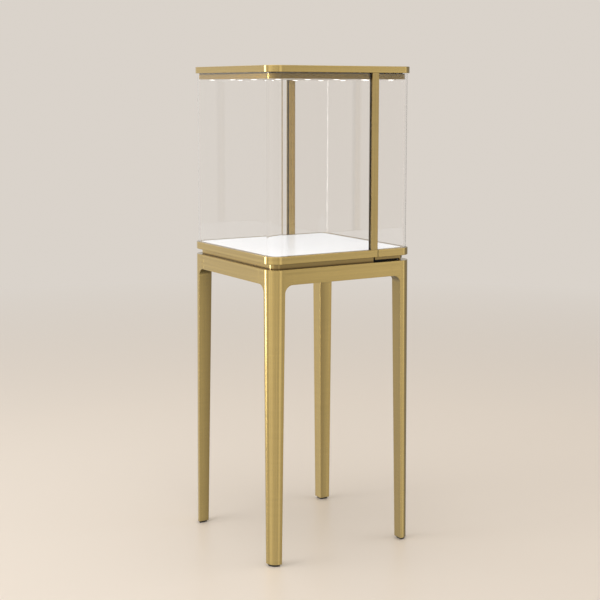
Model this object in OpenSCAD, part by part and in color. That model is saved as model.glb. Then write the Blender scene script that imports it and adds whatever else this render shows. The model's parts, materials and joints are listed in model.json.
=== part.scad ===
// Glass tower display case with a hinged rear door.
// Millimetres. +Z up, origin on the floor under the middle of the case.
// Front is -Y, the door is at +Y, its hinge is on the -X side.

/* [Case] */
// Outside width of the case, left to right
case_w = 460; // [430:5:520]
// Outside depth of the case, front to back
case_d = 460; // [430:5:520]
// Radius of the case's outside corners
corner_r = 37; // [30:1:42]
// Height of the shadow gap between apron and lower frame
recess_h = 15; // [12:0.5:20]
// Set-back of the plinth and of the door skirt in the shadow gap
recess_in = 16; // [13:0.5:16]
// Height of the lower frame
frame_h = 20.5; // [19:0.5:28]
// Width of the lower frame, outside to inside
frame_w = 18; // [18:0.5:22]
// Height of the display space, deck to ceiling
chamber_h = 468; // [300:10:700]
// Height of the top ring
ring_h = 17; // [14:0.5:24]
// Thickness of the cap
cap_h = 18; // [17:0.5:30]
// Chamfer on the outer edges of cap and frames
edge_c = 0.8; // [0.4:0.1:1.5]

/* [Stand] */
// Height of the apron's underside above the floor
leg_clear = 770; // [600:10:900]
// Height of the apron
apron_h = 41.5; // [38:0.5:60]
// Depth of an apron rail, outside to inside
rail_d = 36; // [34:1:40]
// Wall of an apron rail
rail_wall = 3; // [2.5:0.5:4]
// Width of a leg at the apron
leg_top_w = 42.5; // [42.5:0.5:48]
// Width of a leg at its foot
leg_foot_w = 32; // [26:1:40]
// Radius of the arch between a leg and the apron
arch_r = 24; // [12:1:28]
// Straight apron that belongs to a leg, past its arch
block_end = 4; // [2:1:8]
// Wall of the hollow leg at its foot
leg_wall = 2.5; // [2:0.5:4]
// Length of the tongue that joins a leg to a rail
tongue_l = 20; // [12:1:22]
// Height of a foot glide
foot_h = 5.5; // [4:0.5:12]
// Set-back of a foot glide from the leg's faces
foot_in = 4.5; // [3:0.5:7]
// Diameter of a glide's stem
stem_d = 8; // [6:0.5:12]
// Length of a glide's stem
stem_l = 20; // [10:1:40]
// Sheet thickness of the tie plate
tie_t = 3; // [2:0.5:4]
// Height of the tie plate's flanges
tie_flange = 26; // [20:1:34]

/* [Glass and posts] */
// Glass thickness
glass_t = 6; // [4:0.5:6]
// Set-back of the glass from the case's faces
glass_in = 5.7; // [4.5:0.1:6]
// Depth of the glass groove in the lower frame
groove_d = 10; // [6:0.5:12]
// Thickness of the glazing seals
seal_t = 0.8; // [0.6:0.1:1.2]
// Width of a post's outside face
post_w = 21.5; // [20:0.5:30]
// Post face set back from the frame's inner face
post_set = 1; // [0.5:0.5:3]
// Depth of the glass slot in a post
slot_d = 5.5; // [4:0.5:7]
// Distance from the back of the case to the posts' rear faces
door_depth = 120; // [112:2:150]

/* [Door] */
// Gap between the posts and the door
door_gap = 2; // [1.5:0.5:3]
// Gap between the door and the deck and ceiling inside it
door_run = 1.5; // [1:0.5:3]
// Gap under the cap above the door
door_top_gap = 1.5; // [1:0.5:3]
// Gap under the door's skirt
skirt_gap = 5.5; // [4:0.5:7]
// Thickness of the door's skirt
skirt_t = 2; // [1.5:0.5:2]
// Diameter of the lower hinge pin
low_pin_d = 8; // [6:0.5:9]
// Diameter of the upper hinge pin
top_pin_d = 6; // [5:0.5:7]
// Length of the upper pivot block behind its pin
block_l = 12; // [10:1:25]
// Radial running clearance of pins and plug
run_c = 0.05; // [0.02:0.01:0.1]
// Length of the hinge bushes
bush_l = 12; // [8:1:14]

/* [Base] */
// Thickness of the base plate
base_t = 3; // [2:0.5:4]
// Set-back of the base plate's edge under the lower frame
rebate_in = 14; // [13.5:0.5:16]
// Thickness of the plinth's wall
plinth_t = 12; // [8:1:14]
// Gap between the front plinth's ends and the door's split
plinth_end = 3; // [1:0.5:5]
// Length of the rear plinth's lap inside the front one
plinth_lap = 50; // [20:5:100]
// Thickness of the opal deck panel
deck_t = 6; // [4:0.5:7]
// Wall of the light tray and of the ceiling tray
tray_wall = 2; // [1.5:0.5:3]
// Distance of the case bolts from the case's middle
bolt_at = 140; // [100:5:150]
// Diameter of the case bolts
bolt_d = 8; // [6:1:10]

/* [Cap] */
// Width of the cap's solid border
cap_border = 24; // [22:1:40]
// Thickness of the cap's top skin
cap_skin = 3; // [2:0.5:4]
// Downlights along the front and the back
spots_across = 4; // [3:1:6]
// Downlights along the left and the right side
spots_along = 5; // [3:1:6]
// Set-back of the downlight row from the case's faces
spot_in = 48; // [46:1:80]
// Diameter of a downlight's hole
spot_d = 24; // [16:1:26]
// Thickness of the ceiling panel
ceiling_t = 3; // [2:0.5:5]

/* [Lock] */
// Height of the lock above the apron's underside
lock_up = 21; // [20:0.5:23]
// Diameter of the lock's barrel
barrel_d = 16; // [14:0.5:18]
// Depth of the lock's barrel
barrel_l = 20.5; // [17:0.5:21]
// Diameter of the lock's plug
plug_d = 11; // [8:0.5:11]
// Width of the cam
cam_w = 11; // [8:0.5:12]
// Thickness of the cam
cam_t = 2.5; // [2:0.5:3]

/* [Wiring] */
// Diameter of the internal lead
lead_d = 3.6; // [2.5:0.1:4]
// Diameter of the holes that the lead runs through
lead_hole = 4.6; // [4.4:0.1:5]
// Length of the driver
driver_l = 130; // [90:5:160]
// Width of the driver
driver_w = 52; // [36:2:60]
// Height of the driver
driver_h = 22; // [16:1:24]

/* [Hidden] */
$fn = 96;
big_fn = 360;
static_c = 0.02;
fit_c = 0.05;
hx = case_w / 2;
hy = case_d / 2;
z_apron = leg_clear;
z_recess = z_apron + apron_h;
z_frame = z_recess + recess_h;
z_deck = z_frame + frame_h;
z_ring = z_deck + chamber_h;
z_cap = z_ring + ring_h;
// Leg width falls evenly from the apron to the foot
leg_taper = (leg_top_w - leg_foot_w) / (leg_clear - foot_h);
arch_u = leg_top_w - leg_taper * arch_r;
reach = arch_u + arch_r + block_end;
foot_r = corner_r * leg_foot_w / leg_top_w;
// Posts and the joint between the fixed case and the door
split_y = hy - door_depth;
post_front = split_y - post_w;
post_d = frame_w - post_set;
post_u = post_d / 2;
screw_y = post_front + slot_d + 5;
lead_y = split_y - 5;
door_y = split_y + door_gap;
// The hinge runs down the middle of the lower frame's width
pivot_in = frame_w / 2;
pivot_x = -hx + pivot_in;
pivot_y = door_y + pivot_in;
// The free arm's inner edge is an arc about the hinge, so that it clears the deck as it swings
free_dx = hx - frame_w - pivot_x;
swing_r = sqrt(free_dx * free_dx + pivot_in * pivot_in);
bond_t = 0.3;
ring_in = glass_in + glass_t + bond_t;
block_in = 4.5;
z_groove = z_deck - groove_d;
z_glass = z_groove + seal_t;
end_c = 1;
collar_c = 0.3;
flange_t = 1.5;
// Light tray
z_tray = z_frame + base_t;
z_opal = z_deck - deck_t;
tray_floor = 1.5;
deck_gap = 0.3;
// Lead
lead_x = hx - spot_in - 2;
z_lead_low = z_recess - tie_t - driver_h / 2;
z_lead_tray = z_tray + (z_opal - z_tray) / 2;
z_lead_cap = z_cap + 6;
puck_h = 5;
// Lock and strike
z_lock = z_apron + lock_up;
head_t = 1.5;
cam_y = hy - head_t - barrel_l - 2;
strike_t = 2;
z_strike = z_recess + skirt_gap;
cam_over = 5;
cam_l = z_strike + strike_t + cam_over - z_lock;
slot_c = 1.5;
// Finishes
brass = [0.72, 0.6, 0.37];
steel = [0.6, 0.61, 0.62];
dark = [0.1, 0.1, 0.1];
clear_glass = [0.86, 0.93, 0.92, 0.35];
clear_seal = [0.82, 0.83, 0.82];
white = [0.96, 0.96, 0.95];

// Plan outlines

module round_rect(w, d, r) {
    square([w - 2 * r, d], center = true);
    square([w, d - 2 * r], center = true);
    for (sx = [-1, 1], sy = [-1, 1])
        translate([sx * (w / 2 - r), sy * (d / 2 - r)]) circle(r);
}

// The case's outline, drawn in by inset on every side
module plan(inset) {
    round_rect(case_w - 2 * inset, case_d - 2 * inset, max(corner_r - inset, 2));
}

module band(from, to) {
    difference() {
        plan(from);
        plan(to);
    }
}

module in_front(y) {
    translate([-case_w, -case_d]) square([2 * case_w, case_d + y]);
}

module behind(y) {
    translate([-case_w, y]) square([2 * case_w, case_d]);
}

module swing_circle(less) {
    translate([pivot_x, pivot_y]) circle(swing_r - less, $fn = big_fn);
}

// Where the door may be: square at the free side, half round about the hinge
module door_region(less = 0) {
    behind(pivot_y);
    translate([pivot_x, pivot_y]) circle(pivot_in - less);
    translate([0, door_y + less]) square([case_w, case_d]);
}

// Inner boundary of the door's rails
module door_inner() {
    intersection() {
        plan(frame_w);
        swing_circle(0);
    }
}

// Deck, trays and ceiling: up to the frame in front, clear of the swinging door behind
module core(gap, run) {
    intersection() {
        plan(frame_w + gap);
        in_front(split_y);
    }
    intersection() {
        plan(frame_w + run);
        behind(split_y - 1);
        swing_circle(run);
    }
}

// Solids shared by several pieces

// A slab with rounded corners and chamfered edges, its underside at z = 0
module soft_slab(h, c) {
    r = corner_r;
    function side(half) = [
        [c - half, 0], [half - c, 0], [half, c], [half, h - c],
        [half - c, h], [c - half, h], [-half, h - c], [-half, c]
    ];
    rotate([90, 0, 90]) linear_extrude(case_w - 2 * r, center = true) polygon(side(hy));
    rotate([90, 0, 0]) linear_extrude(case_d - 2 * r, center = true) polygon(side(hx));
    for (sx = [-1, 1], sy = [-1, 1])
        translate([sx * (hx - r), sy * (hy - r), 0])
            rotate_extrude() polygon([[0, 0], [r - c, 0], [r, c], [r, h - c], [r - c, h], [0, h]]);
}

module at_z(z, h) {
    translate([0, 0, z]) linear_extrude(h) children();
}

// Drawn for the left side, with x counted inwards from the outside face
module at_side(s) {
    mirror([s > 0 ? 1 : 0, 0, 0]) translate([-hx, 0, 0]) children();
}

// Drawn for one corner, with x and y counted inwards from the outside faces
module at_corner(sx, sy) {
    mirror([sx > 0 ? 1 : 0, 0, 0]) mirror([0, sy > 0 ? 1 : 0, 0])
        translate([-hx, -hy, 0]) children();
}

module rod(a, b, r) {
    d = b - a;
    len = norm(d);
    translate(a) rotate([0, acos(d[2] / len), atan2(d[1], d[0])]) cylinder(r = r, h = len);
}

// Route of the internal lead: driver, light tray, right post, cap, ceiling
module lead_route(r, first, last) {
    pts = [
        [driver_l / 2, lead_y, z_lead_low],
        [lead_x, lead_y, z_lead_low],
        [lead_x, lead_y, z_lead_tray],
        [hx - post_u, lead_y, z_lead_tray],
        [hx - post_u, lead_y, z_lead_cap],
        [lead_x, lead_y, z_lead_cap],
        [lead_x, lead_end_y, z_lead_cap],
        [lead_x, lead_end_y, z_ring + ceiling_t + puck_h]
    ];
    for (i = [first : last - 1]) rod(pts[i], pts[i + 1], r);
    if (last - first > 1)
        for (i = [first + 1 : last - 1]) translate(pts[i]) sphere(r);
}

// Spots: centres along the four sides, corners once
function spot_x(i) = (hx - spot_in) * (2 * i / (spots_across - 1) - 1);
function spot_y(i) = (hy - spot_in) * (2 * i / (spots_along - 1) - 1);
spots = [
    for (i = [0 : spots_across - 1], s = [-1, 1]) [spot_x(i), s * (hy - spot_in)],
    for (i = [1 : spots_along - 2], s = [-1, 1]) [s * (hx - spot_in), spot_y(i)]
];
// The lead ends at the downlight that is nearest to its post
lead_end_y = spot_y(round((lead_y / (hy - spot_in) + 1) * (spots_along - 1) / 2));

module at_spots(z) {
    for (p = spots) translate([p[0], p[1], z]) children();
}

// Stand

// Leg section: round outside corner, slightly eased inside corner
module leg_section(w, radius) {
    r = min(radius, w - 1);
    inner = w / 13;
    difference() {
        union() {
            translate([r, 0]) square([w - r, w]);
            translate([0, r]) square([w, w - r]);
            intersection() {
                translate([r, r]) circle(r);
                square(r);
            }
        }
        translate([w - inner, w - inner]) difference() {
            square(inner + 1);
            circle(inner, $fn = 32);
        }
    }
}

// The web under the apron that turns the leg into the rail
module arch() {
    bite = 0.05;
    translate([0, rail_d, 0]) rotate([90, 0, 0]) linear_extrude(rail_d) difference() {
        translate([arch_u - 2, z_apron - arch_r]) square([arch_r + 2, arch_r + 1]);
        translate([arch_u + arch_r - bite, z_apron - arch_r + bite]) circle(arch_r);
    }
}

module tongue() {
    c = rail_wall + 0.15;
    translate([reach - 1, c, z_apron + c]) cube([tongue_l + 1, rail_d - 2 * c, apron_h - 2 * c]);
}

// Tapers towards the foot about the outside corner, so the outside faces stay upright
module tapered(inset) {
    h = z_recess - foot_h;
    translate([0, 0, foot_h]) linear_extrude(h, scale = 1 + leg_taper * h / leg_foot_w)
        translate([inset, inset]) leg_section(leg_foot_w - 2 * inset, foot_r - inset, $fn = 128);
}

module arm() {
    translate([corner_r + 1, 0, z_apron]) cube([reach - corner_r - 1, rail_d, apron_h]);
}

module leg(sx, sy) {
    color(brass) at_corner(sx, sy) difference() {
        union() {
            tapered(0);
            arm();
            mirror([1, -1, 0]) arm();
            arch();
            mirror([1, -1, 0]) arch();
            tongue();
            mirror([1, -1, 0]) tongue();
        }
        translate([leg_foot_w / 2, leg_foot_w / 2, foot_h - 1])
            cylinder(d = stem_d + 2 * static_c, h = stem_l + 2);
        intersection() {
            tapered(leg_wall);
            translate([0, 0, foot_h + stem_l + 6])
                cube([leg_top_w, leg_top_w, leg_clear - stem_l - foot_h - 8]);
        }
    }
}

module foot(sx, sy) {
    color(dark) at_corner(sx, sy) {
        linear_extrude(foot_h) translate([foot_in, foot_in])
            leg_section(leg_foot_w - 2 * foot_in, foot_r - foot_in);
        translate([leg_foot_w / 2, leg_foot_w / 2, 0]) cylinder(d = stem_d, h = foot_h + stem_l);
    }
}

// Box rail along x, its outside face at y = 0 and its underside at the apron's
tie_bolt_d = 6;
tie_bolt_at = 90;

module rail(len) {
    w = rail_wall;
    difference() {
        translate([-len / 2, 0, z_apron]) cube([len, rail_d, apron_h]);
        translate([-len / 2 - 1, w, z_apron + w]) cube([len + 2, rail_d - 2 * w, apron_h - 2 * w]);
        for (s = [-1, 1]) translate([s * tie_bolt_at, rail_d - w - 1, z_tie_bolt]) rotate([-90, 0, 0])
            cylinder(d = tie_bolt_d + 2 * static_c, h = w + 2);
    }
}

z_tie_bolt = z_recess - tie_flange / 2 - 2;

module on_front() {
    translate([0, -hy, 0]) children();
}
module on_rear() {
    rotate([0, 0, 180]) translate([0, -hy, 0]) children();
}
module on_left() {
    rotate([0, 0, -90]) translate([0, -hx, 0]) children();
}
module on_right() {
    rotate([0, 0, 90]) translate([0, -hx, 0]) children();
}

module apron_rail_front() {
    color(brass) on_front() rail(case_w - 2 * reach);
}

module apron_rail_right() {
    color(brass) on_right() rail(case_d - 2 * reach);
}

module apron_rail_left() {
    color(brass) difference() {
        on_left() rail(case_d - 2 * reach);
        translate([pivot_x, pivot_y, z_recess - rail_wall - 1])
            cylinder(r = bush_r + static_c, h = rail_wall + 2);
    }
}

// Half the swept width of the cam's tip at height z, with room to spare
function cam_sweep(z) = sqrt(cam_l * cam_l - pow(z - z_lock, 2)) + slot_c;

module cam_slot(z, h) {
    right = cam_sweep(z);
    left = cam_w / 2 + slot_c;
    translate([-left, cam_y - cam_t - slot_c, z - 1]) cube([left + right, cam_t + 2 * slot_c, h + 2]);
}

module apron_rail_rear() {
    color(brass) difference() {
        on_rear() rail(case_w - 2 * reach);
        translate([0, hy + 1, z_lock]) rotate([90, 0, 0]) {
            cylinder(d = barrel_d + 2 * fit_c, h = rail_wall + 2);
            cylinder(r = head_r + fit_c, h = head_t + 1);
        }
        cam_slot(z_recess - rail_wall, rail_wall);
    }
}

// Folded tray, open below, bolted to the rails' inner walls
module tie_plate() {
    w = case_w - 2 * rail_d - 0.4;
    d = case_d - 2 * rail_d - 0.4;
    notch = leg_top_w - rail_d + 2;
    color(steel) difference() {
        translate([-w / 2, -d / 2, z_recess - tie_flange]) cube([w, d, tie_flange]);
        translate([-w / 2 + tie_t, -d / 2 + tie_t, z_recess - tie_flange - 1])
            cube([w - 2 * tie_t, d - 2 * tie_t, tie_flange - tie_t + 1]);
        for (sx = [-1, 1], sy = [-1, 1])
            translate([sx * w / 2, sy * d / 2, z_recess])
                cube([2 * notch, 2 * notch, 3 * tie_flange], center = true);
        for (s = [-1, 1]) {
            translate([s * tie_bolt_at, 0, z_tie_bolt]) rotate([90, 0, 0])
                cylinder(d = tie_bolt_d + 0.4, h = case_d, center = true);
            translate([0, s * tie_bolt_at, z_tie_bolt]) rotate([0, 90, 0])
                cylinder(d = tie_bolt_d + 0.4, h = case_w, center = true);
        }
        for (sx = [-1, 1], sy = [-1, 1]) translate([sx * bolt_at, sy * bolt_at, z_recess - tie_t - 1])
            cylinder(d = bolt_d + 0.6, h = tie_t + 2);
        at_ears(z_recess - tie_t - 1) cylinder(d = ear_screw_d + 2 * static_c, h = tie_t + 2);
        lead_route(lead_hole / 2, 1, 2);
    }
}

module tie_bolt() {
    head_h = 4;
    y = rail_d + 0.2 + tie_t;
    for (s = [-1, 1]) translate([s * tie_bolt_at, y + head_h, z_tie_bolt]) rotate([90, 0, 0]) {
        difference() {
            cylinder(d = tie_bolt_d * 1.7, h = head_h);
            translate([0, 0, -1]) cylinder(r = 2.9, h = 3, $fn = 6);
        }
        cylinder(d = tie_bolt_d, h = head_h + tie_t + rail_wall + 4);
    }
}

module tie_bolts() {
    color(steel) {
        on_front() tie_bolt();
        on_rear() tie_bolt();
        on_left() tie_bolt();
        on_right() tie_bolt();
    }
}

// Case base

module front_plinth() {
    color(brass) at_z(z_recess, recess_h) intersection() {
        band(recess_in, recess_in + plinth_t);
        in_front(split_y - plinth_end);
    }
}

// Two angles lapped inside the front plinth, with room between them for the door's strike
module rear_plinth() {
    inset = recess_in + plinth_t;
    room = 3;
    color(dark) at_z(z_recess, recess_h) difference() {
        intersection() {
            band(inset, inset + plinth_t);
            behind(split_y - plinth_lap);
        }
        translate([-strike_left() - room, 0]) square([strike_left() + strike_right() + 2 * room, case_d]);
    }
}

module case_spacers() {
    color(steel) for (sx = [-1, 1], sy = [-1, 1]) translate([sx * bolt_at, sy * bolt_at, z_recess])
        difference() {
            cylinder(d = bolt_d * 2, h = recess_h);
            translate([0, 0, -1]) cylinder(d = bolt_d + 0.4, h = recess_h + 2);
        }
}

module case_bolts() {
    head_h = bolt_d * 0.65;
    color(steel) for (sx = [-1, 1], sy = [-1, 1])
        translate([sx * bolt_at, sy * bolt_at, z_recess - tie_t - head_h]) {
            cylinder(d = bolt_d * 1.85, h = head_h, $fn = 6);
            cylinder(d = bolt_d, h = head_h + tie_t + recess_h + base_t);
        }
}

module base_plate() {
    color(steel) at_z(z_frame, base_t) difference() {
        union() {
            intersection() {
                plan(rebate_in + 0.2);
                in_front(split_y);
            }
            core(0, door_run);
        }
        for (sx = [-1, 1], sy = [-1, 1]) translate([sx * bolt_at, sy * bolt_at])
            circle(d = bolt_d + 2 * static_c);
        translate([lead_x, lead_y]) circle(d = lead_hole);
    }
}

module glass_groove() {
    at_z(z_groove, groove_d + 1) band(glass_in - seal_t, glass_in + glass_t + seal_t);
}

module lower_frame() {
    color(brass) difference() {
        intersection() {
            translate([0, 0, z_frame]) soft_slab(frame_h, edge_c);
            at_z(z_frame, frame_h) in_front(split_y);
        }
        at_z(z_frame - 1, frame_h + 2) plan(frame_w);
        at_z(z_frame - 1, base_t + 1) plan(rebate_in);
        intersection() {
            glass_groove();
            at_z(z_groove, groove_d + 1) in_front(post_front + slot_d);
        }
        for (s = [-1, 1]) at_side(s) translate([post_u, screw_y, z_frame - 1]) {
            cylinder(d = screw_d + 0.4, h = frame_h + 2);
            cylinder(r = screw_d - 0.5 + static_c, h = 1 + screw_head_h);
        }
        lead_route(lead_hole / 2, 2, 4);
    }
}

screw_d = 5;
screw_head_h = 3;
screw_grip = 14;

module post_screws() {
    color(steel) for (s = [-1, 1]) at_side(s) translate([post_u, screw_y, z_frame]) difference() {
        union() {
            cylinder(r = screw_d - 0.5, h = screw_head_h);
            cylinder(d = screw_d, h = frame_h + screw_grip);
        }
        translate([0, 0, -1]) cylinder(r = 1.7, h = 3, $fn = 6);
    }
}

// Tray with a cross rib that carries the deck panel
module light_tray() {
    rib = 3;
    color("silver") difference() {
        at_z(z_tray, z_opal - z_tray) core(deck_gap, door_run);
        difference() {
            at_z(z_tray + tray_floor, z_opal - z_tray) core(deck_gap + tray_wall, door_run + tray_wall);
            translate([-rib / 2, -hy, z_tray]) cube([rib, case_d, z_opal - z_tray + 1]);
            translate([-hx, -rib / 2, z_tray]) cube([case_w, rib, z_opal - z_tray + 1]);
        }
        lead_route(lead_hole / 2, 1, 3);
    }
}

// Four light boards with rows of LED chips
board_t = 1.6;
chip = 5;

module led_board() {
    size = hx - spot_in - 18;
    color("lightyellow") for (sx = [-1, 1], sy = [-1, 1]) {
        mid = [sx * (size / 2 + 6), sy * (size / 2 + 6), z_tray + tray_floor];
        translate(mid) {
            translate([-size / 2, -size / 2, 0]) cube([size, size, board_t]);
            for (i = [-1.5 : 1.5], j = [-1.5 : 1.5])
                translate([i * size / 4 - chip / 2, j * size / 4 - chip / 2, board_t - 0.2])
                    cube([chip, chip, 1.2]);
        }
    }
}

module deck_panel() {
    color(white) at_z(z_opal, deck_t) core(deck_gap, door_run);
}

// Driver hung under the tie plate by its two ears
ear_l = 14;
ear_t = 2;
ear_screw_d = 4;

module at_ears(z) {
    for (s = [-1, 1]) translate([s * (driver_l + ear_l) / 2, lead_y, z]) children();
}

module led_driver() {
    z = z_recess - tie_t;
    color("dimgray") difference() {
        translate([0, lead_y, z]) {
            translate([0, 0, -driver_h]) linear_extrude(driver_h) round_rect(driver_l, driver_w, 3);
            translate([-driver_l / 2 - ear_l, -driver_w / 4, -ear_t])
                cube([driver_l + 2 * ear_l, driver_w / 2, ear_t]);
        }
        at_ears(z - ear_t - 1) cylinder(d = ear_screw_d + 0.4, h = ear_t + 2);
    }
}

module driver_screws() {
    color(steel) at_ears(z_recess - tie_t - ear_t - 2.5) {
        cylinder(d = ear_screw_d * 1.8, h = 2.5);
        cylinder(d = ear_screw_d, h = 2.5 + ear_t + tie_t);
    }
}

// Two-pin inlet in a shroud on the driver's left end
module power_inlet() {
    inlet_l = 22;
    inlet_w = 26;
    inlet_h = 15;
    color(dark) translate([-driver_l / 2 - inlet_l, lead_y, z_lead_low]) {
        difference() {
            translate([0, -inlet_w / 2, -inlet_h / 2]) cube([inlet_l, inlet_w, inlet_h - 4]);
            translate([-1, 0, -2]) rotate([90, 0, 90]) linear_extrude(13) round_rect(18, 8, 3.9);
        }
        for (s = [-1, 1]) translate([2, s * 4, -2]) rotate([0, 90, 0]) cylinder(d = 2.4, h = inlet_l - 3);
    }
}

module post_cable() {
    color("whitesmoke") lead_route(lead_d / 2, 0, 7);
}

// Glass and posts

module front_glass() {
    color(clear_glass) at_z(z_glass, z_cap - fit_c - z_glass) intersection() {
        band(glass_in, glass_in + glass_t);
        in_front(post_front + slot_d - seal_t);
    }
}

// Channel seal that lines the groove
module groove_seal() {
    at_z(z_groove, seal_t)
        band(glass_in - seal_t + fit_c, glass_in + glass_t + seal_t - fit_c);
    at_z(z_groove, groove_d - 0.5) difference() {
        band(glass_in - seal_t + fit_c, glass_in + glass_t + seal_t - fit_c);
        band(glass_in - fit_c, glass_in + glass_t + fit_c);
    }
}

module front_glass_seal() {
    color(clear_seal) intersection() {
        groove_seal();
        at_z(z_groove, groove_d) in_front(post_front + slot_d - fit_c);
    }
}

module post(s) {
    h = z_cap - z_deck;
    color(brass) difference() {
        at_side(s) difference() {
            at_z(z_deck, h) difference() {
                translate([post_d / 2, split_y - post_w / 2]) round_rect(post_d, post_w, 1);
                translate([glass_in - seal_t, post_front - 1])
                    square([glass_t + 2 * seal_t, slot_d + 1]);
            }
            for (z = [z_deck - 1, z_cap - stud_l - 0.5])
                translate([post_u, screw_y, z]) cylinder(d = screw_d + 2 * static_c, h = stud_l + 1.5);
        }
        lead_route(lead_hole / 2, 3, 4);
    }
}

stud_l = 14;

module post_studs() {
    color(steel) for (s = [-1, 1]) at_side(s) translate([post_u, screw_y, z_cap - stud_l])
        cylinder(d = screw_d, h = stud_l + cap_h - cap_skin - 3);
}

module post_gaskets() {
    color(dark) for (s = [-1, 1]) at_side(s) at_z(z_deck, z_cap - z_deck - fit_c) difference() {
        translate([glass_in - seal_t + fit_c, post_front + 0.3])
            square([glass_t + 2 * seal_t - 2 * fit_c, slot_d - 0.3]);
        translate([glass_in - fit_c, post_front - 1])
            square([glass_t + 2 * fit_c, slot_d - seal_t + 1 + fit_c]);
    }
}

// Flat compression strips that the door closes on
module door_stop_seals() {
    strip_t = 1.2;
    color(dark) for (s = [-1, 1]) at_side(s)
        translate([3, split_y, z_deck + 2]) cube([post_d - 5, strip_t, chamber_h - 4]);
}

// Cap

module cap_shell() {
    color(brass) difference() {
        translate([0, 0, z_cap]) soft_slab(cap_h, edge_c);
        at_z(z_cap - 1, cap_h - cap_skin + 1) plan(cap_border);
        translate([pivot_x, pivot_y, z_cap - 1]) cylinder(r = top_bush_r + static_c, h = bush_l + 1.2);
        for (s = [-1, 1]) at_side(s) translate([post_u, screw_y, z_cap - 1])
            cylinder(d = screw_d + 2 * static_c, h = cap_h - cap_skin - 1);
        lead_route(lead_hole / 2, 3, 5);
    }
}

module cap_core() {
    color("burlywood") difference() {
        at_z(z_cap, cap_h - cap_skin) plan(cap_border + fit_c);
        lead_route(lead_hole / 2, 4, 7);
    }
}

module top_ring() {
    color(brass) at_z(z_ring, ring_h) intersection() {
        band(ring_in, frame_w);
        in_front(post_front);
    }
}

module ceiling_tray() {
    color(white) difference() {
        at_z(z_ring, ring_h) core(deck_gap, door_run);
        at_z(z_ring + ceiling_t, ring_h) core(deck_gap + tray_wall, door_run + tray_wall);
        at_spots(z_ring - 1) cylinder(d = spot_d + 2 * fit_c, h = ceiling_t + 2);
    }
}

bezel_wall = 2;
bezel_lip = 1;

module downlight_bezels() {
    color(brass) at_spots(z_ring) difference() {
        union() {
            cylinder(d = spot_d, h = ceiling_t);
            translate([0, 0, -bezel_lip]) cylinder(d = spot_d + 2, h = bezel_lip);
        }
        translate([0, 0, -2]) cylinder(d = spot_d - 2 * bezel_wall, h = ceiling_t + 4);
    }
}

// Lens with a shallow dome that shows below the bezel
module downlight_lenses() {
    r = spot_d / 2 - bezel_wall - fit_c;
    dome = 1.6;
    dome_r = (r * r + dome * dome) / (2 * dome);
    color("white") at_spots(z_ring - bezel_lip) {
        cylinder(r = r, h = bezel_lip + ceiling_t);
        intersection() {
            translate([0, 0, dome_r - dome]) sphere(dome_r);
            translate([0, 0, -dome]) cylinder(r = r, h = dome + 0.5);
        }
    }
}

module downlight_pucks() {
    color("gainsboro") at_spots(z_ring + ceiling_t) cylinder(d = spot_d + 2, h = puck_h);
}

// Door

bush_r = low_pin_d / 2 + 2;
top_bush_r = top_pin_d / 2 + 2;

module bottom_bush() {
    color("gold") translate([pivot_x, pivot_y, 0]) difference() {
        union() {
            translate([0, 0, z_recess - bush_l]) cylinder(r = bush_r, h = bush_l + flange_t);
            translate([0, 0, z_recess]) cylinder(r = bush_r + 2, h = flange_t);
        }
        translate([0, 0, z_recess - bush_l - 1])
            cylinder(d = low_pin_d + 2 * run_c, h = bush_l + flange_t + 2);
    }
}

module top_bush() {
    color("gold") translate([pivot_x, pivot_y, z_cap]) difference() {
        cylinder(r = top_bush_r, h = bush_l);
        translate([0, 0, -1]) cylinder(d = top_pin_d + 2 * run_c, h = bush_l + 2);
    }
}

module door_bottom_pin() {
    into_rail = groove_d < frame_h - 10 ? 9 : frame_h - groove_d - 1;
    z = z_recess - bush_l + 1;
    color(steel) translate([pivot_x, pivot_y, 0]) {
        translate([0, 0, z]) cylinder(d = low_pin_d, h = z_frame + into_rail - z);
        translate([0, 0, z_recess + flange_t + collar_c])
            cylinder(r = bush_r, h = recess_h - flange_t - collar_c);
    }
}

module door_top_pin() {
    color(steel) translate([pivot_x, pivot_y, z_ring + 2])
        cylinder(d = top_pin_d, h = ring_h - 2 + bush_l - 1);
}

module door_bottom_rail() {
    into_rail = groove_d < frame_h - 10 ? 9 : frame_h - groove_d - 1;
    color(brass) difference() {
        intersection() {
            translate([0, 0, z_frame]) soft_slab(frame_h, edge_c);
            at_z(z_frame, frame_h) door_region();
        }
        at_z(z_frame - 1, frame_h + 2) door_inner();
        glass_groove();
        translate([pivot_x, pivot_y, z_frame - 1])
            cylinder(d = low_pin_d + 2 * static_c, h = into_rail + 1);
    }
}

module door_glass() {
    color(clear_glass) difference() {
        at_z(z_glass, z_cap - door_top_gap - z_glass) intersection() {
            band(glass_in, glass_in + glass_t);
            door_region(end_c);
        }
        translate([-hx, 0, z_ring - 0.5]) cube([hx / 2, pivot_y + block_l + 0.5, ring_h]);
    }
}

module door_glass_seal() {
    color(clear_seal) intersection() {
        groove_seal();
        at_z(z_groove, groove_d) door_region(end_c);
    }
}

module door_skirt() {
    color(brass) at_z(z_strike, z_frame - z_strike) intersection() {
        band(recess_in, recess_in + skirt_t);
        behind(door_y);
    }
}

module door_top_rail() {
    color(brass) at_z(z_ring, ring_h - door_top_gap) difference() {
        intersection() {
            difference() {
                plan(ring_in);
                door_inner();
            }
            door_region();
        }
        translate([-hx, 0]) square([hx, pivot_y + block_l]);
    }
}

// Block behind the notch in the glass, with the upper pin in it
module door_pivot_block() {
    color(brass) difference() {
        at_z(z_ring, ring_h - door_top_gap) intersection() {
            band(block_in, frame_w);
            door_region();
            translate([-hx, 0]) square([hx / 2, pivot_y + block_l]);
        }
        translate([pivot_x, pivot_y, z_ring + 2]) cylinder(d = top_pin_d + 2 * static_c, h = ring_h);
    }
}

// Stands just above the apron at the free corner and takes the door's weight
pad_l = 6;
pad_t = 6;

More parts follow.
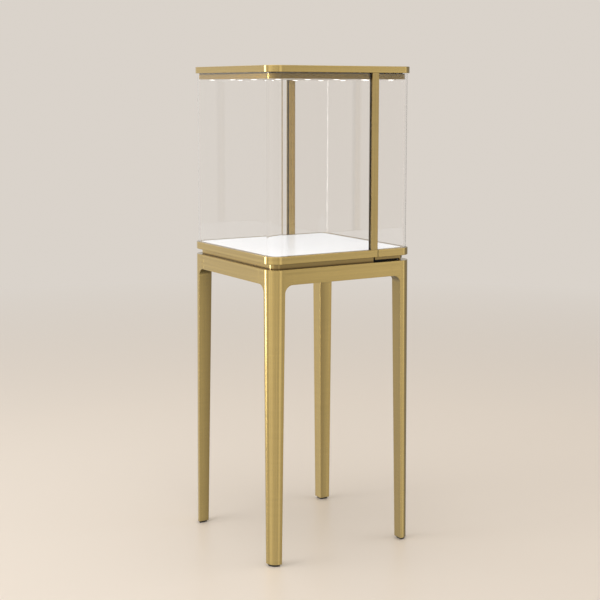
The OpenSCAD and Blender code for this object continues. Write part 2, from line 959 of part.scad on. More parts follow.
module door_rest_pad() {
    z = z_recess + collar_c;
    color(brass) difference() {
        at_z(z, z_frame - z) intersection() {
            plan(recess_in);
            translate([hx - recess_in - skirt_t - pad_t, hy - corner_r + 2])
                square([pad_t + skirt_t, pad_l]);
        }
        at_z(z_strike, z_frame - z_strike + 1) band(recess_in - 1, recess_in + skirt_t);
    }
}

module door_strike() {
    inner = recess_in + skirt_t;
    lip = cam_in() + cam_t + slot_c + 4;
    len = strike_left() + strike_right();
    color(steel) difference() {
        union() {
            translate([-strike_left(), hy - lip, z_strike]) cube([len, lip - inner, strike_t]);
            translate([-strike_left(), hy - inner - 2, z_strike])
                cube([len, 2, z_frame - z_strike - 0.5]);
        }
        cam_slot(z_strike, strike_t);
    }
}

function cam_in() = hy - cam_y;

// The strike's reach to either side of the lock
function strike_left() = cam_w / 2 + slot_c + 4;

function strike_right() = cam_sweep(z_strike) + 4;

// Lock

head_r = barrel_d / 2 + 1.5;

// Drawn along +z from the outside face inwards
module at_lock() {
    translate([0, hy, z_lock]) rotate([90, 0, 0]) children();
}

module lock_barrel() {
    color(steel) at_lock() difference() {
        union() {
            cylinder(r = head_r, h = head_t);
            cylinder(d = barrel_d, h = head_t + barrel_l);
        }
        translate([0, 0, -1]) cylinder(d = plug_d + 2 * run_c, h = head_t + barrel_l + 2);
    }
}

module lock_nut() {
    color(steel) at_lock() translate([0, 0, rail_wall]) difference() {
        cylinder(r = barrel_d / 2 + 4, h = 4, $fn = 6);
        translate([0, 0, -1]) cylinder(d = barrel_d + 2 * static_c, h = 6);
    }
}

module lock_plug() {
    len = cam_in();
    color("gold") at_lock() difference() {
        cylinder(d = plug_d, h = len);
        translate([-0.7, -3.8, -1]) cube([1.4, 7.6, 5]);
        translate([0, 0, len - 8]) cylinder(d = cam_screw_d + 2 * static_c, h = 9);
    }
}

cam_screw_d = 4;

// Flat cam, lying along +x when unlocked
module lock_cam() {
    r = cam_w / 2;
    color(steel) at_lock() translate([0, 0, cam_in()]) difference() {
        union() {
            cylinder(r = 8, h = cam_t);
            translate([0, -r, 0]) cube([cam_l - r, cam_w, cam_t]);
            translate([cam_l - r, 0, 0]) cylinder(r = r, h = cam_t);
        }
        translate([0, 0, -1]) cylinder(d = cam_screw_d + 0.2, h = cam_t + 2);
    }
}

module cam_screw() {
    color(steel) at_lock() translate([0, 0, cam_in() - 7]) {
        cylinder(d = cam_screw_d, h = 7 + cam_t);
        translate([0, 0, 7 + cam_t]) cylinder(d = 7, h = 2);
    }
}

leg(-1, -1);  // leg_front_left
leg(1, -1);  // leg_front_right
leg(-1, 1);  // leg_rear_left
leg(1, 1);  // leg_rear_right
apron_rail_front();
apron_rail_rear();
apron_rail_left();
apron_rail_right();
foot(-1, -1);  // foot_front_left
foot(1, -1);  // foot_front_right
foot(-1, 1);  // foot_rear_left
foot(1, 1);  // foot_rear_right
tie_plate();
tie_bolts();
front_plinth();
rear_plinth();
case_spacers();
case_bolts();
base_plate();
lower_frame();
light_tray();
led_board();
deck_panel();
led_driver();
driver_screws();
power_inlet();
post_cable();
front_glass();
front_glass_seal();
post(-1);  // post_left
post(1);  // post_right
post_gaskets();
door_stop_seals();
post_screws();
post_studs();
cap_shell();
cap_core();
top_ring();
ceiling_tray();
downlight_bezels();
downlight_lenses();
downlight_pucks();
top_bush();
bottom_bush();
door_glass();
door_glass_seal();
door_bottom_rail();
door_skirt();
door_top_rail();
door_pivot_block();
door_top_pin();
door_bottom_pin();
door_rest_pad();
door_strike();
lock_barrel();
lock_nut();
lock_plug();
lock_cam();
cam_screw();
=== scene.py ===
"""Glass tower display case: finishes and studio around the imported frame."""

import json
import math

import bmesh
import bpy
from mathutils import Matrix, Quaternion, Vector


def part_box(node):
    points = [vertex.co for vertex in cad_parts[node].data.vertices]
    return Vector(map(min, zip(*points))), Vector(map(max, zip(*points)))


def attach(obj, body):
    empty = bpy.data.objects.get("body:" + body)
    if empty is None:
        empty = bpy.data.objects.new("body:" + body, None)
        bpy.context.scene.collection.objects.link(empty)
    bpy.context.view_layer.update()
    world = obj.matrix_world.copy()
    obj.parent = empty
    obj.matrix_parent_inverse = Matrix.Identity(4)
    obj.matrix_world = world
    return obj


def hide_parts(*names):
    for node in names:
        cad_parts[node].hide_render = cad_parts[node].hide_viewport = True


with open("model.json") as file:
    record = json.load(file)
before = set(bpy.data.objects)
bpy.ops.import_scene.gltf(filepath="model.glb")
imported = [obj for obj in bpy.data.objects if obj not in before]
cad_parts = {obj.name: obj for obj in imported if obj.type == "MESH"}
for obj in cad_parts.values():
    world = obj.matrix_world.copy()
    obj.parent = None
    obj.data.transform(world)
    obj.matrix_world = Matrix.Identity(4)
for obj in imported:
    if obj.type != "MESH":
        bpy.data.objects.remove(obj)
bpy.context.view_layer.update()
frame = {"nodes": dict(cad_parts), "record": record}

MM = 0.001
BODY_OF = {node: body for body, nodes in frame["record"]["behaviour"]["bodies"].items() for node in nodes}
SLOT_OF = {part["node"]: part["material_slot"] for part in frame["record"]["subparts"]}

# Sizes read from the frame
CASE_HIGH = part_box("cap_shell")[1]
APRON_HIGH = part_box("apron_rail_front")[1]
RAIL_END_X = APRON_HIGH.x
RAIL_END_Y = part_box("apron_rail_left")[1].y
RING_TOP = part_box("top_ring")[1].z
PLINTH_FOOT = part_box("front_plinth")[0].z

# Camera, fitted to the photograph's edges
IMAGE_PX = 600
FOCAL_PX = 1286.8
PRINCIPAL_Y_PX = 241.9
CAMERA_AT = Vector((3.1246, -1.9186, 1.2874))
CAMERA_YAW = math.radians(148.465)
CAMERA_PITCH = math.radians(6.766)
CAMERA_ROLL = math.radians(0.086)
SENSOR_MM = 36
FAR_CLIP = 60

# Colours, linear
WALL = (0.70, 0.65, 0.595)
FLOOR = (0.82, 0.75, 0.67)
PANEL = (1.0, 0.985, 0.95)
BRASS = (0.535, 0.382, 0.132)
# Painted shade: the colours that the brass and the ring's brass turn to where shade is painted
BRASS_PAINTED_SHADE = (0.15, 0.095, 0.03)
RING_PAINTED_SHADE = (0.07, 0.043, 0.005)
# Painted shade: the near black of the posts' front faces inside the glass
REBATE_PAINTED_SHADE = (0.05, 0.036, 0.016)
GLASS = (0.975, 0.97, 0.965)
GLASS_SHADOW = (0.965, 0.96, 0.955)


# Node helpers

def rgba(colour):
    return (*colour, 1.0)


def toned(colour, share, lift=0.0):
    """A colour made darker or brighter."""
    return rgba([min(1, c * share + lift) for c in colour])


class Nodes:
    """Builds a node tree with short calls."""

    def __init__(self, tree):
        self.tree = tree

    def add(self, kind, **settings):
        node = self.tree.nodes.new("ShaderNode" + kind)
        for key, value in settings.items():
            setattr(node, key, value)
        return node

    def feed(self, node, inputs):
        for key, value in inputs.items():
            socket = node.inputs[key]
            if isinstance(value, bpy.types.NodeSocket):
                self.tree.links.new(value, socket)
            else:
                socket.default_value = value
        return node

    def math(self, operation, a, b=0.0, clamp=False):
        node = self.add("Math", operation=operation, use_clamp=clamp)
        return self.feed(node, {0: a, 1: b}).outputs[0]

    def vector_math(self, operation, *vectors):
        node = self.add("VectorMath", operation=operation)
        return self.feed(node, dict(enumerate(vectors))).outputs["Value"]

    def axes(self, vector):
        """The X, Y and Z of a vector."""
        return self.feed(self.add("SeparateXYZ"), {0: vector}).outputs

    def noise(self, vector, scale, detail=2.0, rough=0.5):
        inputs = {"Vector": vector, "Scale": scale, "Detail": detail, "Roughness": rough}
        return self.feed(self.add("TexNoise"), inputs).outputs["Fac"]

    def stretch(self, vector, scale):
        return self.feed(self.add("Mapping"), {"Vector": vector, "Scale": scale}).outputs["Vector"]

    def remap(self, value, low, high, to_low, to_high):
        inputs = {"Value": value, "From Min": low, "From Max": high, "To Min": to_low, "To Max": to_high}
        return self.feed(self.add("MapRange"), inputs).outputs["Result"]

    def spread(self, noise, low=0.0, high=1.0):
        """The range that a noise mostly fills, spread from low to high."""
        return self.remap(noise, 0.3, 0.7, low, high)

    def mix_value(self, factor, a, b):
        return self.feed(self.add("Mix"), {"Factor": factor, "A": a, "B": b}).outputs["Result"]

    def mix_vector(self, factor, a, b):
        return self.feed(self.add("Mix", data_type="VECTOR"), {0: factor, 4: a, 5: b}).outputs[1]

    def mix(self, factor, a, b):
        """A mix of two colours."""
        return self.feed(self.add("Mix", data_type="RGBA"), {0: factor, 6: a, 7: b}).outputs[2]

    def mix_shader(self, factor, a, b):
        return self.feed(self.add("MixShader"), {0: factor, 1: a, 2: b}).outputs[0]


MATERIALS = {}

# The share of the true normal that a rounded one keeps, on flats and on edges
EDGE_TURN = (0.999, 0.9)


class Finish(Nodes):
    """A new material, kept in MATERIALS. Its place and normal are in the object's own coordinates, so that
    a moving piece keeps its painted shade."""

    def __init__(self, name):
        self.material = bpy.data.materials.new(name)
        self.material.use_nodes = True
        super().__init__(self.material.node_tree)
        self.tree.nodes.clear()
        coordinates = self.add("TexCoord").outputs
        self.place = coordinates["Object"]
        self.normal = coordinates["Normal"]
        MATERIALS[name] = self.material

    def bump(self, height, strength, distance, normal=None):
        inputs = {"Height": height, "Strength": strength, "Distance": distance}
        if normal is not None:
            inputs["Normal"] = normal
        return self.feed(self.add("Bump"), inputs).outputs["Normal"]

    def principled(self, **inputs):
        inputs = {key.replace("_", " "): value for key, value in inputs.items()}
        return self.feed(self.add("BsdfPrincipled"), inputs).outputs["BSDF"]

    def surface(self, shader):
        self.feed(self.add("OutputMaterial"), {"Surface": shader})


def edge_mask(n, radius):
    """1 on edges and 0 on flats, from how far a rounded normal turns from the true one, and that normal."""
    rounded = n.feed(n.add("Bevel", samples=4), {"Radius": radius}).outputs["Normal"]
    kept = n.vector_math("DOT_PRODUCT", rounded, n.add("NewGeometry").outputs["Normal"])
    return n.remap(kept, *EDGE_TURN, 0.0, 1.0), rounded


# Brushed brass

# Waves per metre of the brushing across and along its strokes
ACROSS = 900.0
ALONG = 9.0

# Scale and share in the tone: of the single strokes, of broad streaks and of a hatching along the case
STROKES = (1.0, 0.35)
STREAKS = (0.2, 0.45)
HATCHING = (0.33, 0.2)

# Shares of the brass colour: in dark and bright strokes, in clouds and on rubbed edges, which
# also carry a painted highlight
DARK_STROKE = 0.88
BRIGHT_STROKE = 1.1
CLOUDED = 0.93
RUBBED_AND_HIGHLIGHT = 1.45

# Shader settings of the brushing, which stretches what it mirrors, and of the lacquer over it
BRUSHED = {"Anisotropic": 1.0, "Anisotropic_Rotation": 0.25}
LACQUER = {"Coat_Weight": 0.5, "Coat_Roughness": 0.08}

# Width of the corner columns, which are brushed up and down, and of the posts' strips outside the glass,
# which get no painted shade
COLUMN_W = 42.5 * MM
OUTSIDE_W = 6.5 * MM

# The openness at which a recess's painted shade is darkest, and the one at which it is no recess any more
OPENNESS = (0.25, 0.95)

# Faces that look at the case's axis get painted shade, all of it at the first distance, none at the second
TURNED_IN = (-150 * MM, -50 * MM)
# Share of colour that painted shade leaves such faces to the front and back, from one X to another
FRONT_FACES = (-100 * MM, 100 * MM, 1.05, 0.62)
# Share of colour that painted shade leaves such side faces of the legs, from one distance in Y to another,
# and those of the posts
LEG_FACES = (190 * MM, 224 * MM, 0.42, 1.02)
POST_FACES = 0.96

# Part of a unit normal from which a face lies flat, faces front or back, and faces straight to the front
LYING = 0.75
FRONT_OR_BACK = 0.7
STRAIGHT_FRONT = -0.8


def corner_column_mask(n):
    """1 inside the corner columns of the stand, where the brushing runs up and down."""
    place = n.axes(n.place)
    inside_x = n.math("GREATER_THAN", n.math("ABSOLUTE", place["X"]), CASE_HIGH.x - COLUMN_W)
    inside_y = n.math("GREATER_THAN", n.math("ABSOLUTE", place["Y"]), CASE_HIGH.y - COLUMN_W)
    return n.math("MULTIPLY", inside_x, inside_y)


def brushing(n, run):
    """The single strokes, and the tone that strokes, streaks and hatching give together."""
    lying = n.math("GREATER_THAN", n.math("ABSOLUTE", n.axes(n.normal)["Z"]), LYING)
    along = n.stretch(n.place, (ALONG, ALONG, ACROSS))
    flat = n.stretch(n.place, (ALONG, ACROSS, ALONG))
    up = n.stretch(n.place, (ACROSS, ACROSS, ALONG))
    vector = n.mix_vector(lying, along, flat)
    if run == "columns":
        vector = n.mix_vector(corner_column_mask(n), vector, up)
    elif run == "up":
        vector = up
    strokes = n.noise(vector, STROKES[0], 3.0, 0.6)
    tone = n.math("MULTIPLY", strokes, STROKES[1])
    tone = n.math("ADD", tone, n.math("MULTIPLY", n.noise(vector, STREAKS[0]), STREAKS[1]))
    tone = n.math("ADD", tone, n.math("MULTIPLY", n.noise(along, HATCHING[0]), HATCHING[1]))
    return strokes, tone


def shade_of(n, reach, depth):
    """Painted shade: the colour a spot keeps, less in narrow recesses and on faces turned to the case's
    axis.
    """
    crevice = n.feed(n.add("AmbientOcclusion", samples=8), {"Distance": reach})
    open_part = n.remap(crevice.outputs["AO"], *OPENNESS, depth, 1.0)
    place = n.axes(n.place)
    front_faces = n.remap(place["X"], *FRONT_FACES)
    leg_faces = n.remap(n.math("ABSOLUTE", place["Y"]), *LEG_FACES)
    on_stand = n.math("LESS_THAN", place["Z"], APRON_HIGH.z)
    side_faces = n.mix_value(on_stand, POST_FACES, leg_faces)
    to_front = n.math("GREATER_THAN", n.math("ABSOLUTE", n.axes(n.normal)["Y"]), FRONT_OR_BACK)
    turned_in = n.mix_value(to_front, side_faces, front_faces)
    outward = n.vector_math("DOT_PRODUCT", n.normal, n.stretch(n.place, (1, 1, 0)))
    return n.math("MULTIPLY", open_part, n.remap(outward, *TURNED_IN, turned_in, 1.0))


def rebate_shade_mask(n):
    """1 on the front faces of the posts, inside the glass, where painted shade turns the metal near black.
    """
    facing = n.math("LESS_THAN", n.axes(n.normal)["Y"], STRAIGHT_FRONT)
    inside = n.math("LESS_THAN", n.math("ABSOLUTE", n.axes(n.place)["X"]), CASE_HIGH.x - OUTSIDE_W)
    return n.math("MULTIPLY", facing, inside)


def band_shade_of(n, shadow_line_at, shadow_line_level, shaded_side_at, shaded_side_level):
    """Painted shade of a recessed band: a painted shadow line that clears from one height to another, and
    painted shade on its right side."""
    line = n.remap(n.axes(n.place)["Z"], *shadow_line_at, shadow_line_level, 1.0)
    side = n.remap(n.axes(n.normal)["X"], *shaded_side_at, 1.0, shaded_side_level)
    return n.math("MULTIPLY", line, side)


def brushed_brass(name, run, reach=20 * MM, depth=0.55, painted_rebate_shade=False, tint=(1, 1, 1), painted_shade_colour=BRASS_PAINTED_SHADE,
                  band_shade=None):
    """Brushed brass. run: brushed along the case, up and down, or up and down in the corner columns only.
    Recesses as narrow as reach keep the share depth of their colour, the rest turns to painted shade."""
    n = Finish(name)
    brass = [c * t for c, t in zip(BRASS, tint)]
    strokes, tone = brushing(n, run)
    stroke = n.remap(tone, 0.37, 0.63, 0.0, 1.0)
    colour = n.mix(stroke, toned(brass, DARK_STROKE), toned(brass, BRIGHT_STROKE))
    cloud = n.noise(n.place, 7.0)
    colour = n.mix(n.remap(cloud, 0.35, 0.75, 0.0, 0.3), colour, toned(brass, CLOUDED))
    edge, rounded = edge_mask(n, 1.0 * MM)
    # Edges rubbed brighter, which also paints a highlight on them
    colour = n.mix(n.math("MULTIPLY", edge, 0.7), colour, toned(brass, RUBBED_AND_HIGHLIGHT))
    shade = shade_of(n, reach, depth)
    # Painted shadow line and painted shade on a recessed band's right side
    if band_shade:
        shade = n.math("MULTIPLY", shade, band_shade_of(n, **band_shade))
    # Painted shade: the colour turns to the shade colour where the painted shade keeps little
    colour = n.mix(shade, rgba(painted_shade_colour), colour)
    # Painted shade on the posts' front faces inside the glass
    if painted_rebate_shade:
        colour = n.mix(rebate_shade_mask(n), colour, rgba(REBATE_PAINTED_SHADE))
    around = n.add("Tangent", direction_type="RADIAL", axis="Z").outputs[0]
    n.surface(n.principled(Base_Color=colour, Metallic=1.0, Roughness=n.spread(tone, 0.2, 0.26),
                           Tangent=around, Normal=n.bump(strokes, 0.1, 0.01 * MM, rounded),
                           **BRUSHED, **LACQUER))


# Other finishes

def uneven(n, fine, rough):
    """A roughness that follows the grain."""
    return n.spread(fine, rough - 0.06, rough + 0.08)


def rubbed(n, colour, share, bright):
    """A colour that turns a share brighter on the edges."""
    return n.mix(n.math("MULTIPLY", edge_mask(n, 0.5 * MM)[0], share), colour, bright)


def plain_metal(name, colour, rough, grain=300.0, stretch=(1, 1, 1), strength=0.15):
    """Turned, plated or polished metal with a fine grain, rubbed brighter on its edges."""
    n = Finish(name)
    place = n.stretch(n.place, stretch)
    fine = n.noise(place, grain, 3.0, 0.6)
    cloud = n.noise(place, grain / 20)
    tint = n.mix(n.spread(cloud), toned(colour, 0.88), rgba(colour))
    n.surface(n.principled(Base_Color=rubbed(n, tint, 0.4, toned(colour, 1.25)), Metallic=1.0,
                           Roughness=uneven(n, fine, rough), Normal=n.bump(fine, strength, 0.03 * MM)))


def coated(name, colour, rough, grain, depth, emission=0.0, coat=0.0):
    """Paint, enamel, rubber, plastic: a fine surface grain with a little uneven tone."""
    n = Finish(name)
    fine = n.noise(n.place, grain, 4.0, 0.6)
    cloud = n.noise(n.place, grain / 40)
    tint = n.mix(n.spread(cloud), toned(colour, 0.9), rgba(colour))
    n.surface(n.principled(Base_Color=rubbed(n, tint, 0.25, toned(colour, 1.15, 0.01)), Coat_Weight=coat,
                           Roughness=uneven(n, fine, rough), Normal=n.bump(fine, 0.3, depth),
                           Emission_Color=rgba(colour), Emission_Strength=emission))


def clear_glass(name):
    """Clear glass with a faint film of handling marks. Shadows pass through it."""
    n = Finish(name)
    smear = n.noise(n.stretch(n.place, (1, 1, 0.35)), 14.0, 4.0, 0.6)
    glass = n.principled(Base_Color=rgba(GLASS), Transmission_Weight=1.0, IOR=1.5, Specular_IOR_Level=0.25,
                         Roughness=n.remap(smear, 0.55, 0.8, 0.0, 0.004))
    clear = n.feed(n.add("BsdfTransparent"), {"Color": rgba(GLASS_SHADOW)}).outputs[0]
    path = n.add("LightPath").outputs
    passing = n.math("MAXIMUM", path["Is Shadow Ray"], path["Is Diffuse Ray"])
    n.surface(n.mix_shader(passing, glass, clear))


def opal(name, strength, light=(1, 1, 1)):
    """Lit opal acrylic: a milky face with a little unevenness in its glow."""
    n = Finish(name)
    fine = n.noise(n.place, 900.0)
    cloudy = n.spread(n.noise(n.place, 9.0))
    face = n.mix(cloudy, rgba((0.96, 0.97, 0.97)), rgba((1, 1, 1)))
    glow = n.mix(cloudy, toned(light, 0.97), rgba(light))
    n.surface(n.principled(Base_Color=face, Roughness=n.spread(fine, 0.22, 0.3), Emission_Color=glow,
                           Emission_Strength=strength, Normal=n.bump(fine, 0.1, 0.01 * MM)))


def raw_board(name):
    """Raw core board: pressed fibres."""
    n = Finish(name)
    fibre = n.noise(n.stretch(n.place, (300, 90, 900)), 1.0, 4.0, 0.7)
    tint = n.mix(n.spread(fibre), rgba((0.42, 0.28, 0.17)), rgba((0.6, 0.43, 0.28)))
    n.surface(n.principled(Base_Color=tint, Roughness=0.85, Normal=n.bump(fibre, 0.4, 0.1 * MM)))


brushed_brass("brass_along", "along")
# The posts' brass, with painted shade on their front faces inside the glass
brushed_brass("brass_up", "up", painted_rebate_shade=True)
# The near post's brass: a darker copy, painted shade all over
brushed_brass("brass_up_shaded", "up", painted_rebate_shade=True, tint=(0.84, 0.84, 0.88))
brushed_brass("brass_stand", "columns")
# Recess brass, painted brighter, with a painted shadow line at its foot and painted shade on its right side
brushed_brass("brass_recess", "along", reach=12 * MM, depth=0.75, tint=(1.12, 1.12, 1.12), band_shade={
    "shadow_line_at": (PLINTH_FOOT + 0.8 * MM, PLINTH_FOOT + 4 * MM), "shadow_line_level": 0.12,
    "shaded_side_at": (0.25, 0.7), "shaded_side_level": 0.4})
# Ring brass, painted brighter and yellower, with a painted shadow line at its top and painted shade to the
# right
brushed_brass("brass_ring", "along", reach=0.5 * MM, depth=1.0, tint=(1.17, 1.12, 0.56), band_shade={
    "shadow_line_at": (RING_TOP - 2.6 * MM, RING_TOP - 4.6 * MM), "shadow_line_level": 0.0,
    "shaded_side_at": (0.25, 0.98), "shaded_side_level": 0.325}, painted_shade_colour=RING_PAINTED_SHADE)

clear_glass("clear_glass")
opal("opal_diffuser", 0.28, (0.66, 0.81, 1.0))
opal("spot_lens", 1.6)
raw_board("board_core")

# Metals: colour, roughness, waves of the grain per metre and its stretch
plain_metal("plated_steel", (0.55, 0.56, 0.58), 0.32)
plain_metal("lock_chrome", (0.72, 0.72, 0.73), 0.12, strength=0.05)
plain_metal("bearing_brass", (0.6, 0.42, 0.16), 0.25, 400.0, (1, 1, 8))
plain_metal("tray_aluminium", (0.75, 0.76, 0.78), 0.38, 200.0, (1, 12, 1))

# Coated pieces: colour, roughness, waves of the grain per metre and its depth
coated("clear_silicone", (0.62, 0.63, 0.61), 0.5, 700.0, 0.03 * MM)
coated("black_rubber", (0.012, 0.012, 0.012), 0.6, 700.0, 0.05 * MM)
coated("black_plastic", (0.015, 0.015, 0.016), 0.45, 900.0, 0.05 * MM)
coated("driver_case", (0.09, 0.09, 0.095), 0.5, 800.0, 0.06 * MM)
coated("steel_sheet", (0.15, 0.15, 0.15), 0.5, 600.0, 0.05 * MM, coat=0.2)
# Black for the plinth's rear part: painted shade in the gap under the door skirt
coated("black_steel", (0.008, 0.008, 0.008), 0.6, 600.0, 0.05 * MM)
coated("led_board", (0.75, 0.75, 0.66), 0.35, 500.0, 0.02 * MM, emission=0.5)
coated("white_enamel", (0.66, 0.655, 0.64), 0.5, 500.0, 0.03 * MM)
coated("white_lead", (0.72, 0.72, 0.7), 0.5, 900.0, 0.03 * MM)

# Nodes whose material isn't that of their slot. Several of these materials carry painted shade and light
MATERIAL_OF = {
    "downlight_lenses": "spot_lens", "post_left": "brass_up", "post_right": "brass_up_shaded",
    "front_plinth": "brass_recess", "door_skirt": "brass_recess", "door_rest_pad": "brass_recess",
    "top_ring": "brass_ring", "door_top_rail": "brass_ring",
}


def wear(obj, material):
    obj.data.materials.clear()
    obj.data.materials.append(material)


def material_of(node):
    """The material that a CAD node wears."""
    slot = SLOT_OF[node]
    if slot == "brushed_brass":
        slot = "brass_stand" if node.startswith("leg_") else "brass_along"
    return MATERIALS[MATERIAL_OF.get(node, slot)]


for node, obj in frame["nodes"].items():
    wear(obj, material_of(node))


# Dressed pieces: the CAD shapes with eased edges. The rear rail holds the lock and is eased less

EASE = 0.9 * MM
REAR_RAIL_EASE = 0.6 * MM
EASED = {
    "leg_front_left": EASE, "leg_front_right": EASE, "leg_rear_left": EASE, "leg_rear_right": EASE,
    "apron_rail_front": EASE, "apron_rail_rear": REAR_RAIL_EASE,
    "apron_rail_left": EASE, "apron_rail_right": EASE,
}
# Steps across an eased edge, the distance within which points are one, and that from a weld's plane
SEGMENTS = 2
MERGE = 0.002 * MM
ON_WELD = 0.05 * MM
# Angles: up to which faces are one flat, from which an edge is eased, and from which it is shaded sharp
FLAT = math.radians(0.3)
SHARP = math.radians(32)
SHADED_SHARP = math.radians(50)


def placed(name, data):
    """A new object in the scene."""
    obj = bpy.data.objects.new(name, data)
    bpy.context.scene.collection.objects.link(obj)
    return obj


def on_weld(edge):
    """An edge where a leg's corner block and a rail were welded and ground flush."""
    for axis, end in ((0, RAIL_END_X), (1, RAIL_END_Y)):
        if all(abs(abs(vertex.co[axis]) - end) < ON_WELD for vertex in edge.verts):
            return True
    return False


def is_sharp(edge):
    return len(edge.link_faces) == 2 and edge.calc_face_angle(0) > SHARP


def eased(node, width):
    """A copy of a CAD node with its sharp edges rounded to width, except on welds."""
    work = bmesh.new()
    work.from_mesh(frame["nodes"][node].data)
    bmesh.ops.remove_doubles(work, verts=work.verts, dist=MERGE)
    bmesh.ops.dissolve_limit(work, angle_limit=FLAT, verts=work.verts, edges=work.edges)
    sharp = [edge for edge in work.edges if is_sharp(edge) and not on_weld(edge)]
    bmesh.ops.bevel(work, geom=sharp, offset=width, segments=SEGMENTS, profile=0.5,
                    affect="EDGES", clamp_overlap=True, harden_normals=False)
    mesh = bpy.data.meshes.new(node + "_eased")
    work.to_mesh(mesh)
    work.free()
    piece = placed(node + "_eased", mesh)
    wear(piece, material_of(node))
    for polygon in mesh.polygons:
        polygon.use_smooth = True
    mesh.set_sharp_from_angle(angle=SHADED_SHARP)
    flatten = piece.modifiers.new("flat_faces", "WEIGHTED_NORMAL")
    flatten.keep_sharp = True
    flatten.weight = 100
    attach(piece, BODY_OF[node])
    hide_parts(node)


for node, width in EASED.items():
    eased(node, width)


# Studio

FLOOR_RADIUS = 9.0
FLOOR_FADE = (1.6, 5.0)
STRIP_DISTANCE = 1.516

# What metal and glass mirror around the case: azimuth in degrees and level
PANELS = (
    (-180, 0.85), (-155, 0.88), (-122, 0.8), (-108, 0.78), (-92, 1.26), (-80, 1.14), (-70, 1.16),
    (-60, 0.93), (-30, 0.91), (-18, 0.84), (-9, 0.72), (-1, 1.2), (10, 1.16), (20, 0.74), (30, 0.68),
    (37, 0.92), (48, 0.84), (56, 1.3), (66, 0.64), (78, 0.37), (108, 0.31), (130, 0.42), (180, 0.85))
PEAK = 2.0
# How that level changes from straight down (0) by level (0.5) to straight up (1), as shares of PEAK
ELEVATIONS = ((0.0, 0.15), (0.125, 0.15), (0.325, 0.5), (0.7, 0.5), (0.92, 1.0), (1.0, 1.0))


def build_camera():
    data = bpy.data.cameras.new("camera")
    data.sensor_width = SENSOR_MM
    data.lens = FOCAL_PX / IMAGE_PX * SENSOR_MM
    data.shift_y = (PRINCIPAL_Y_PX - IMAGE_PX / 2) / IMAGE_PX
    data.clip_end = FAR_CLIP
    camera = placed("camera", data)
    forward = Vector((math.cos(CAMERA_PITCH) * math.cos(CAMERA_YAW),
                      math.cos(CAMERA_PITCH) * math.sin(CAMERA_YAW), -math.sin(CAMERA_PITCH)))
    level = forward.to_track_quat("-Z", "Y")
    camera.location = CAMERA_AT
    camera.rotation_euler = (Quaternion(forward, -CAMERA_ROLL) @ level).to_euler()
    bpy.context.scene.camera = camera


def turn_of(azimuth):
    """An azimuth from -180 to 180 degrees as a share of the full turn."""
    return (azimuth + 180) / 360


def mirrored_level(n, direction):
    """The level that mirrors see in a direction: the panels, darker far down."""
    parts = n.axes(direction)
    azimuth = n.math("ARCTAN2", parts["Y"], parts["X"])
    ramp = n.feed(n.add("ValToRGB"), {"Fac": n.remap(azimuth, -math.pi, math.pi, 0.0, 1.0)})
    stops = ramp.color_ramp.elements
    for azimuth_deg, _ in PANELS[1:-1]:
        stops.new(turn_of(azimuth_deg))
    for stop, (azimuth_deg, level) in zip(stops, PANELS):
        stop.position = turn_of(azimuth_deg)
        stop.color = rgba([level / PEAK] * 3)
    rise = n.feed(n.add("FloatCurve"), {"Value": n.remap(parts["Z"], -1.0, 1.0, 0.0, 1.0)})
    curve = rise.mapping.curves[0]
    for point, end in zip(curve.points, (ELEVATIONS[0], ELEVATIONS[-1])):
        point.location = end
    for between in ELEVATIONS[1:-1]:
        curve.points.new(*between)
    for point in curve.points:
        point.handle_type = "VECTOR"
    rise.mapping.update()
    around = n.math("MULTIPLY", ramp.outputs["Color"], PEAK)
    return n.math("MULTIPLY", around, n.math("MULTIPLY", rise.outputs["Value"], PEAK))


def build_world():
    """An even wall colour. Mirrors see soft panels and dark gaps instead."""
    world = bpy.data.worlds.new("studio")
    bpy.context.scene.world = world
    world.use_nodes = True
    n = Nodes(world.node_tree)
    level = mirrored_level(n, n.add("TexCoord").outputs["Generated"])
    path = n.add("LightPath").outputs
    mirrored = n.math("SUBTRACT", path["Is Glossy Ray"], path["Is Transmission Ray"], clamp=True)
    n.feed(world.node_tree.nodes["Background"], {
        "Color": n.mix(mirrored, rgba(WALL), rgba(PANEL)), "Strength": n.mix_value(mirrored, 1.0, level)})


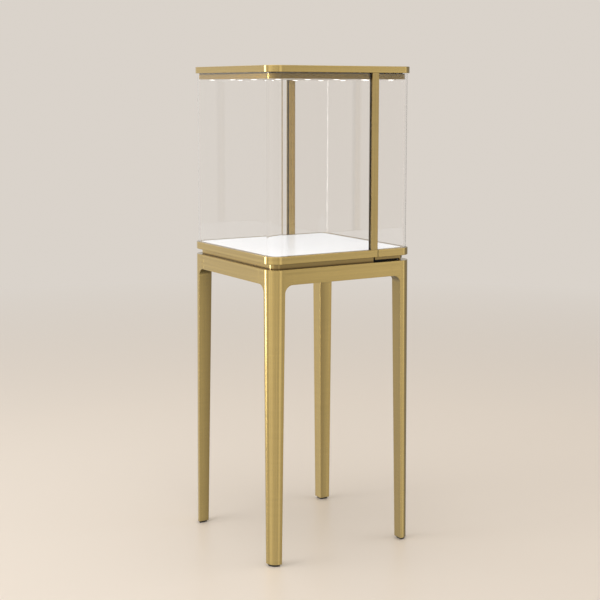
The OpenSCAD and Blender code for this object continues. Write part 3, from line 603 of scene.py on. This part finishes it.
def build_floor():
    """A round pale floor that fades into the wall's colour far from the case."""
    mesh = bpy.data.meshes.new("floor")
    work = bmesh.new()
    bmesh.ops.create_circle(work, cap_ends=True, radius=FLOOR_RADIUS, segments=96)
    work.to_mesh(mesh)
    work.free()
    n = Finish("floor")
    far = n.remap(n.vector_math("LENGTH", n.place), *FLOOR_FADE, 0.0, 1.0)
    pale = n.principled(Base_Color=rgba(FLOOR), Roughness=0.35, Specular_IOR_Level=0.35)
    wall = n.feed(n.add("Emission"), {"Color": rgba(WALL), "Strength": 1.0}).outputs[0]
    path = n.add("LightPath").outputs
    seen = n.math("MAXIMUM", path["Is Camera Ray"], path["Is Glossy Ray"])
    seen = n.math("MAXIMUM", seen, path["Is Transmission Ray"])
    n.surface(n.mix_shader(n.math("MULTIPLY", far, seen), pale, wall))
    floor = placed("floor", mesh)
    wear(floor, n.material)
    floor.visible_glossy = False
    return floor


def area_light(name, azimuth, distance, height, width, tall, power, aim=1.0, mirrored=False):
    """A panel of light at an azimuth in degrees around the case, turned to the case's axis at the height
    aim. Only a mirrored one shows in metal and glass."""
    data = bpy.data.lights.new(name, "AREA")
    data.shape = "RECTANGLE"
    data.size = width
    data.size_y = tall
    data.energy = power
    lamp = placed(name, data)
    turn = math.radians(azimuth)
    lamp.location = (distance * math.cos(turn), distance * math.sin(turn), height)
    lamp.rotation_euler = (Vector((0, 0, aim)) - lamp.location).to_track_quat("-Z", "Y").to_euler()
    lamp.visible_camera = False
    lamp.visible_glossy = mirrored
    lamp.visible_transmission = mirrored
    return lamp


def link_light(lamp, pieces, state):
    """Lets a lamp light only the given pieces (INCLUDE), or everything but them (EXCLUDE)."""
    linked = bpy.data.collections.new("linked_to_" + lamp.name)
    for piece in pieces:
        linked.objects.link(piece)
    for member in linked.collection_objects:
        member.light_linking.link_state = state
    lamp.light_linking.receiver_collection = linked


build_camera()
build_world()
floor = build_floor()

# The key strip draws the bright line on the metal and in the door's far corner. It lights neither the front
# glass nor the floor. The ring stands behind that glass, so a small strip of its own draws the line there
key_strip = area_light("key_strip", azimuth=-124.8, distance=STRIP_DISTANCE, height=1.0, width=0.44,
                       tall=1.4, power=9.7, mirrored=True)
link_light(key_strip, [frame["nodes"]["front_glass"], floor], "EXCLUDE")
ring_strip = area_light("ring_strip", azimuth=-125.5, distance=STRIP_DISTANCE, height=1.35, width=0.16,
                        tall=0.03, power=42, aim=1.33, mirrored=True)
link_light(ring_strip, [frame["nodes"]["top_ring"], frame["nodes"]["door_top_rail"]], "INCLUDE")
area_light("front_soft", azimuth=-100, distance=3.2, height=2.2, width=2.4, tall=2.0, power=30)
area_light("right_soft", azimuth=60, distance=3.6, height=2.2, width=2.6, tall=2.0, power=16)
area_light("overhead", azimuth=-60, distance=0.6, height=3.2, width=2.2, tall=2.2, power=25, aim=0.8)
bpy.context.scene.view_settings.view_transform = "Standard"
